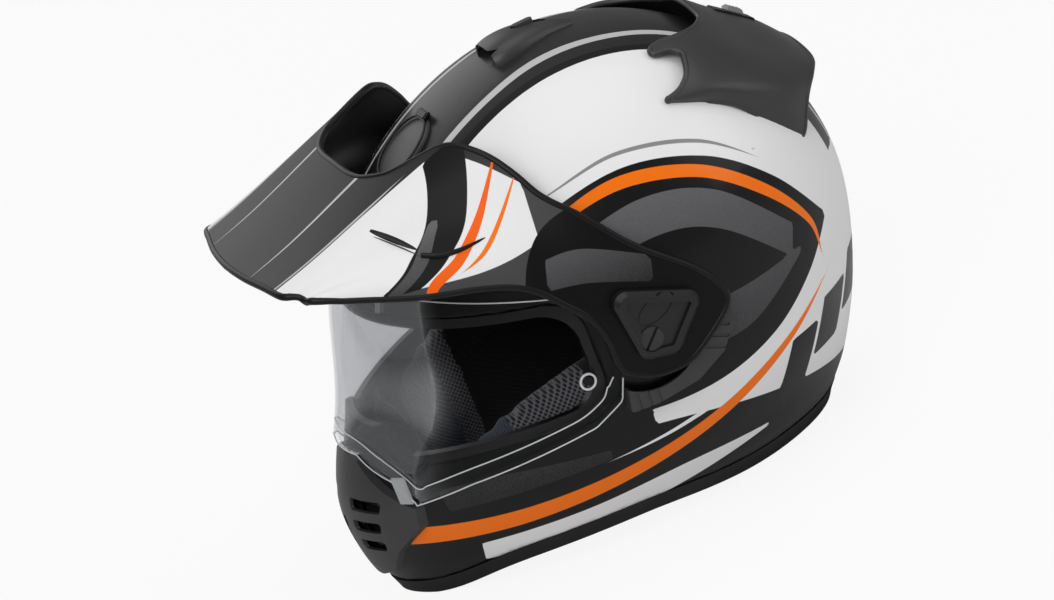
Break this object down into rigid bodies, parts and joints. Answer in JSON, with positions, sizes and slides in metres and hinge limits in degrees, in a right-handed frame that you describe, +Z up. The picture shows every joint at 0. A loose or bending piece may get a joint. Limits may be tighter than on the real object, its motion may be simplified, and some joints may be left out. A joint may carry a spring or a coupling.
{
  "type": "dual sport helmet",
  "caption": "Full face helmet with a clear face shield and a long peak that turn on one temple axis, sliding vents, a rear wing, padded liners and a strap with rings.",
  "frame": {"origin": "centre of the bounding box at its base, where the cut trim and the straps rest", "axes": "+X the wearer's left, -Y the front, +Z up"},
  "size_m": [0.29, 0.3472, 0.279],
  "materials": {
    "shell_paint": "gloss lacquer",
    "peak_plastic": "matte paint",
    "vent_plastic": "fine moulded grain",
    "pod_plastic": "fine moulded grain",
    "screw_plastic": "smooth",
    "lever_plastic": "silvery",
    "badge_plastic": "satin",
    "clear_shield": "clear",
    "rubber_trim": "matte",
    "soft_rubber": "matte",
    "energy_foam": "beaded foam",
    "liner_fabric": "brushed knit",
    "mesh_fabric": "open mesh",
    "roll_fabric": "brushed knit",
    "webbing": "woven",
    "ring_steel": "polished"
  },
  "bodies": {
    "root": {"outer_shell": "shell_paint", "eyeport_gasket": "rubber_trim", "base_trim": "rubber_trim", "chin_trim": "rubber_trim", "impact_liner": "energy_foam", "chin_liner": "energy_foam", "breath_guard": "soft_rubber", "comfort_liner": "liner_fabric", "neck_roll": "roll_fabric", "crown_vent_cowl": "vent_plastic", "rear_spoiler": "vent_plastic", "chin_vent_cover": "vent_plastic", "forehead_disc": "badge_plastic", "strap_left": "webbing", "strap_right": "webbing", "cheek_pad_left": "mesh_fabric", "cheek_pad_right": "mesh_fabric", "pivot_base_left": "vent_plastic", "pivot_base_right": "vent_plastic", "side_cover_left": "vent_plastic", "side_cover_right": "vent_plastic", "strap_anchor_left": "ring_steel", "strap_anchor_right": "ring_steel"},
    "shield": {"face_shield": "clear_shield", "shield_pin_left": "vent_plastic", "shield_pin_right": "vent_plastic"},
    "peak": {"peak": "peak_plastic", "pod_cap_left": "pod_plastic", "pod_cap_right": "pod_plastic"},
    "crown_vent_slider": {"crown_vent_slider": "vent_plastic"},
    "rear_vent_slider": {"rear_vent_slider": "lever_plastic"},
    "chin_vent_slider": {"chin_vent_slider": "vent_plastic"},
    "d_ring_inner": {"d_ring_inner": "ring_steel"},
    "d_ring_outer": {"d_ring_outer": "ring_steel"},
    "coin_screw_left": {"coin_screw_left": "screw_plastic"},
    "coin_screw_right": {"coin_screw_right": "screw_plastic"}
  },
  "joints": [
    {"name": "shield_lift", "type": "hinge", "parent": "root", "child": "shield", "pos_m": [0, -0.00241, 0.131], "axis": [-1, 0, 0], "range_deg": [0, 20]},
    {"name": "peak_tilt", "type": "hinge", "parent": "root", "child": "peak", "pos_m": [0, -0.00241, 0.131], "axis": [-1, 0, 0], "range_deg": [-4, 8]},
    {"name": "coin_screw_left_turn", "type": "hinge", "parent": "root", "child": "coin_screw_left", "pos_m": [0.139, -0.00241, 0.131], "axis": [1, 0, 0], "range_deg": [0, 90]},
    {"name": "coin_screw_right_turn", "type": "hinge", "parent": "root", "child": "coin_screw_right", "pos_m": [-0.139, -0.00241, 0.131], "axis": [-1, 0, 0], "range_deg": [0, 90]},
    {"name": "crown_vent_slide", "type": "slide", "parent": "root", "child": "crown_vent_slider", "axis": [0, 1, 0], "range_m": [0, 0.005]},
    {"name": "rear_vent_slide", "type": "slide", "parent": "root", "child": "rear_vent_slider", "axis": [0, 0.7986, -0.6018], "range_m": [0, 0.005]},
    {"name": "chin_vent_slide", "type": "slide", "parent": "root", "child": "chin_vent_slider", "axis": [0, 0, 1], "range_m": [0, 0.0025]},
    {"name": "d_ring_inner_swing", "type": "hinge", "parent": "root", "child": "d_ring_inner", "pos_m": [0.0418, 0.03959, 0.0037], "axis": [0, 1, 0], "range_deg": [0, 80]},
    {"name": "d_ring_outer_swing", "type": "hinge", "parent": "root", "child": "d_ring_outer", "pos_m": [0.046, 0.03959, 0.0037], "axis": [0, 1, 0], "range_deg": [0, 80]}
  ]
}
